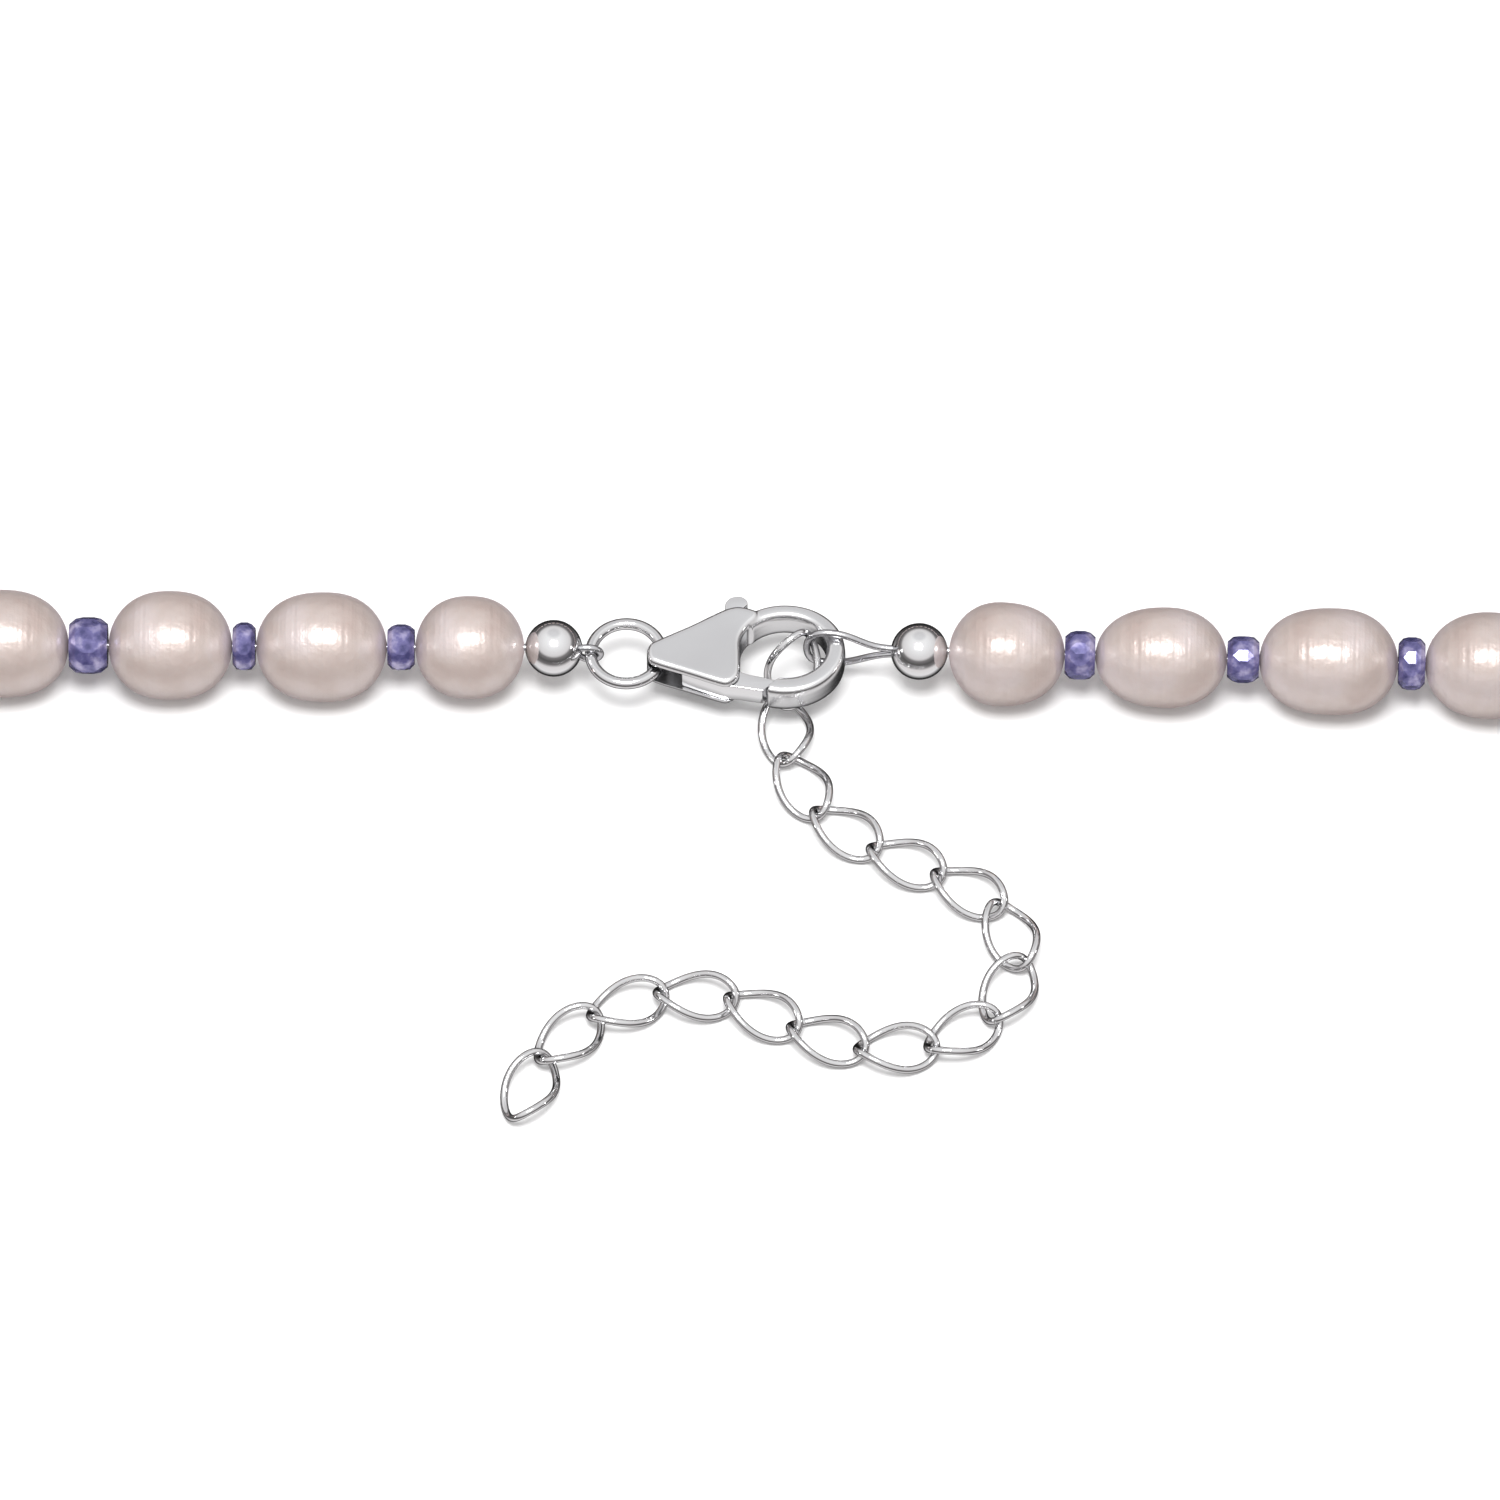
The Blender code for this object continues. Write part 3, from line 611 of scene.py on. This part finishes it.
def dress_metal():
    for node in sorted(BODY_OF):
        if node.startswith("chain_link"):
            refined_copy(node, BRIGHT)
    refined_copy("clasp_ring", BRIGHT, grow=0.02 * MM)
    for side in ("left", "right"):
        node = f"{side}_end_ball"
        ball = ball_mesh(f"{node}_fine", box_height(node))
        across = along(box_middle(node), joint_place(f"{side}_pearl_1_spins")[1])
        new_piece(f"{node}_fine", ball, POLISHED, [node], across)
        refined_copy(f"{side}_wire", WIRE, levels=1, grow=0.06 * MM)
    refined_copy("clasp_spring", WIRE, levels=1)


# ---------------------------------------------------------------- clasp


def smooth_outline(corners, steps=6):
    """A closed Catmull-Rom curve through the corners."""
    points = []
    count = len(corners)
    for index in range(count):
        a, b, c, d = (Vector(corners[(index + shift) % count]) for shift in (-1, 0, 1, 2))
        for step in range(steps):
            t = step / steps
            point = 0.5 * (2 * b + (c - a) * t + (2 * a - 5 * b + 4 * c - d) * t * t)
            point += 0.5 * (3 * b - a - 3 * c + d) * t ** 3
            points.append(point)
    return points


def plate_mesh(name, outline, half_thickness, rim=0.0):
    """A flat plate of the closed outline, in millimetres, with rims rounded by rim."""
    curve = bpy.data.curves.new(name, "CURVE")
    curve.dimensions = "2D"
    curve.fill_mode = "BOTH"
    curve.extrude = half_thickness - rim
    curve.bevel_depth = rim
    curve.bevel_resolution = 2
    curve.offset = -rim
    spline = curve.splines.new("POLY")
    spline.points.add(len(outline) - 1)
    for index, (x, y) in enumerate(outline):
        spline.points[index].co = (x * MM, y * MM, 0.0, 1.0)
    spline.use_cyclic_u = True
    return curve_to_mesh(curve)


def curve_to_mesh(curve):
    obj = bpy.data.objects.new(curve.name, curve)
    bpy.context.scene.collection.objects.link(obj)
    bpy.context.view_layer.update()
    graph = bpy.context.evaluated_depsgraph_get()
    mesh = bpy.data.meshes.new_from_object(obj.evaluated_get(graph))
    mesh.name = curve.name
    bpy.data.objects.remove(obj, do_unlink=True)
    edit = bmesh.new()
    edit.from_mesh(mesh)
    bmesh.ops.remove_doubles(edit, verts=edit.verts, dist=1e-7)
    bmesh.ops.recalc_face_normals(edit, faces=edit.faces)
    edit.to_mesh(mesh)
    edit.free()
    return mesh


def rounded(share, power):
    """Pushes a cosine or sine outwards, which turns a circle into a rounded square."""
    return math.copysign(abs(share) ** power, share)


def hook_mesh():
    """The hook as rings of a rounded section swept round an ellipse."""
    start, stop = HOOK_TURN
    mesh = bpy.data.meshes.new("hook")
    edit = bmesh.new()
    rows = []
    for index in range(HOOK_STATIONS):
        angle = start + (stop - start) * index / (HOOK_STATIONS - 1)
        cosine, sine = math.cos(angle), math.sin(angle)
        middle = HOOK_CENTRE + Vector((HOOK_RADII[0] * cosine, HOOK_RADII[1] * sine))
        ahead = Vector((-HOOK_RADII[0] * sine, HOOK_RADII[1] * cosine)).normalized()
        outward = Vector((ahead.y, -ahead.x))
        size = 0.96 - 0.12 * math.sin(angle)
        tip = 1.0 - 0.2 * max(0.0, -math.sin(angle))
        row = []
        for side in range(HOOK_SIDES):
            turn = math.tau * side / HOOK_SIDES
            across = 0.66 * size * rounded(math.cos(turn), 0.55)
            up = 1.36 * size * tip * rounded(math.sin(turn), 0.45)
            spot = middle + outward * across
            row.append(edit.verts.new((spot.x * MM, spot.y * MM, up * MM)))
        rows.append(row)
    bridge_rows(edit, rows)
    edit.faces.new(rows[0])
    edit.faces.new(rows[-1])
    bmesh.ops.recalc_face_normals(edit, faces=edit.faces)
    edit.to_mesh(mesh)
    edit.free()
    return mesh


def add_cutter(name, mesh, matrix):
    cutter = bpy.data.objects.new(name, mesh)
    bpy.context.scene.collection.objects.link(cutter)
    cutter.matrix_world = matrix
    return cutter


def box_mesh(name, size):
    mesh = bpy.data.meshes.new(name)
    edit = bmesh.new()
    bmesh.ops.create_cube(edit, size=1.0)
    bmesh.ops.scale(edit, vec=[value * MM for value in size], verts=edit.verts)
    edit.to_mesh(mesh)
    edit.free()
    return mesh


def cut(obj, cutter):
    modifier = obj.modifiers.new(cutter.name, "BOOLEAN")
    modifier.operation = "DIFFERENCE"
    modifier.object = cutter
    modifier.solver = "EXACT"


def settle(obj, cutters):
    """Makes the cut shape the piece's own mesh, so that it turns as one with its body."""
    bpy.context.view_layer.update()
    graph = bpy.context.evaluated_depsgraph_get()
    mesh = bpy.data.meshes.new_from_object(obj.evaluated_get(graph))
    mesh.name = obj.name
    obj.modifiers.clear()
    obj.data = mesh
    for cutter in cutters:
        bpy.data.objects.remove(cutter, do_unlink=True)


def joined(name, meshes):
    mesh = bpy.data.meshes.new(name)
    edit = bmesh.new()
    for part in meshes:
        edit.from_mesh(part)
    edit.to_mesh(mesh)
    edit.free()
    return mesh


def cast(obj, iterations):
    """Melts the joined blocks into one casting with rounded edges."""
    remesh = obj.modifiers.new("cast", "REMESH")
    remesh.mode = "VOXEL"
    remesh.voxel_size = CAST_VOXEL
    remesh.use_smooth_shade = True
    relax = obj.modifiers.new("polish", "SMOOTH")
    relax.factor = 0.5
    relax.iterations = iterations


def dress_clasp():
    lowest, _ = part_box("clasp_body")
    pivot = joint_place("lever_opens")[0]
    origin = Vector((lowest.x + TAIL_LENGTH, pivot.y - PIVOT_UP, pivot.z))
    here = Matrix.Translation(origin)
    outline = smooth_outline(CASTING_CORNERS)
    plates = plate_mesh("plates", outline, CLASP_HALF, CASTING_RIM)
    body_mesh = joined("clasp_casting", [plates, hook_mesh()])
    body = new_piece("clasp_casting", body_mesh, SATIN, ["clasp_body"], here)
    cast(body, 20)
    channel = add_cutter("channel", plate_mesh("channel", CAVITY, CHANNEL_HALF), here)
    cut(body, channel)
    across = Vector((math.sin(SEAM_ANGLE), -math.cos(SEAM_ANGLE), 0.0))
    seam = origin + SEAM_PLACE * MM
    turn = Matrix.Rotation(SEAM_ANGLE, 4, "Z")
    gate_side = Matrix.Translation(seam - across * SEAM_SHIFT) @ turn
    hook_side = Matrix.Translation(seam + across * SEAM_SHIFT) @ turn
    hook_seam = add_cutter("seam_hook_side", box_mesh("seam_a", SEAM_BLOCK), gate_side)
    cut(body, hook_seam)
    settle(body, [channel, hook_seam])
    lever_outline = smooth_outline(LEVER_CORNERS, 3)
    lever_mesh = plate_mesh("lever_plate", lever_outline, LEVER_HALF, LEVER_RIM)
    lever_mesh.shade_smooth()
    lever_mesh.set_sharp_from_angle(angle=math.radians(35))
    lever = new_piece("clasp_gate", lever_mesh, POLISHED, ["clasp_lever"], here)
    gate_seam = add_cutter("seam_gate_side", box_mesh("seam_b", SEAM_BLOCK), hook_side)
    cut(lever, gate_seam)
    settle(lever, [gate_seam])


# ---------------------------------------------------------------- stage


def aim(obj, target):
    obj.rotation_euler = (target - obj.location).to_track_quat("-Z", "Y").to_euler()


def soft_light(name, place, target, size, power, colour=(1.0, 1.0, 1.0)):
    light = bpy.data.lights.new(name, "AREA")
    light.shape = "RECTANGLE"
    light.size, light.size_y = size
    light.energy = power
    light.color = colour
    obj = bpy.data.objects.new(name, light)
    bpy.context.scene.collection.objects.link(obj)
    obj.location = place
    aim(obj, target)


def make_floor():
    mesh = bpy.data.meshes.new("floor")
    edit = bmesh.new()
    bmesh.ops.create_grid(edit, x_segments=1, y_segments=1, size=3.0)
    edit.to_mesh(mesh)
    edit.free()
    mesh.materials.append(floor_material())
    floor = bpy.data.objects.new("floor", mesh)
    bpy.context.scene.collection.objects.link(floor)
    floor.location.z = size_at_load[0][2] - 0.02 * MM
    # polished metal shows the studio's shades below the horizon too
    floor.visible_glossy = False


def make_world():
    """A pale studio: dark round the horizon, white overhead, and a grey and a black card."""
    world = bpy.data.worlds.new("studio")
    bpy.context.scene.world = world
    world.use_nodes = True
    tree = world.node_tree
    place = tree.nodes.new("ShaderNodeTexCoord").outputs["Generated"]
    split = tree.nodes.new("ShaderNodeSeparateXYZ")
    tree.links.new(place, split.inputs["Vector"])
    height = tree.nodes.new("ShaderNodeMapRange")
    height.inputs["From Min"].default_value = -1.0
    tree.links.new(split.outputs["Z"], height.inputs["Value"])
    shades = ramp(tree, height.outputs["Result"], HEIGHT_SHADES)
    for side, stops in CARDS:
        facing = tree.nodes.new("ShaderNodeVectorMath")
        facing.operation = "DOT_PRODUCT"
        ahead, up = math.cos(PHOTO_ELEVATION), math.sin(PHOTO_ELEVATION)
        facing.inputs[1].default_value = (0.0, ahead, side * up)
        tree.links.new(place, facing.inputs[0])
        mix = tree.nodes.new("ShaderNodeMix")
        mix.data_type = "RGBA"
        mix.blend_type = "MULTIPLY"
        mix.inputs["Factor"].default_value = 1.0
        tree.links.new(shades, mix.inputs["A"])
        tree.links.new(ramp(tree, facing.outputs["Value"], stops), mix.inputs["B"])
        shades = mix.outputs["Result"]
    background = tree.nodes["Background"]
    background.inputs["Strength"].default_value = WORLD_STRENGTH
    tree.links.new(shades, background.inputs["Color"])


def make_stage():
    lowest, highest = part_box("clasp_body")
    middle = Vector((lowest.x, lowest.y, (lowest.z + highest.z) / 2))
    focus = middle + Vector(FOCUS_FROM_CLASP)
    make_floor()
    make_world()
    for name, place, size, power in LIGHTS:
        soft_light(name, focus + Vector(place), focus, size, power)
    camera = bpy.data.objects.new("camera", bpy.data.cameras.new("camera"))
    bpy.context.scene.collection.objects.link(camera)
    camera.data.lens = LENS
    camera.data.sensor_width = SENSOR
    camera.data.clip_start = 0.01
    distance = VIEW_WIDTH * LENS / SENSOR
    back = Vector((0.0, -math.cos(PHOTO_ELEVATION), math.sin(PHOTO_ELEVATION)))
    camera.location = focus + back * distance
    aim(camera, focus)
    bpy.context.scene.camera = camera
    bpy.context.scene.view_settings.view_transform = "Standard"


slots = {part["node"]: part["material_slot"] for part in frame["record"]["subparts"]}
for node, obj in frame["nodes"].items():
    obj.data.materials.clear()
    obj.data.materials.append(MATERIALS[slots[node]])

dress_visible_beads(random.Random(11))
dress_hidden_strand(random.Random(23))
dress_metal()
dress_clasp()
make_stage()
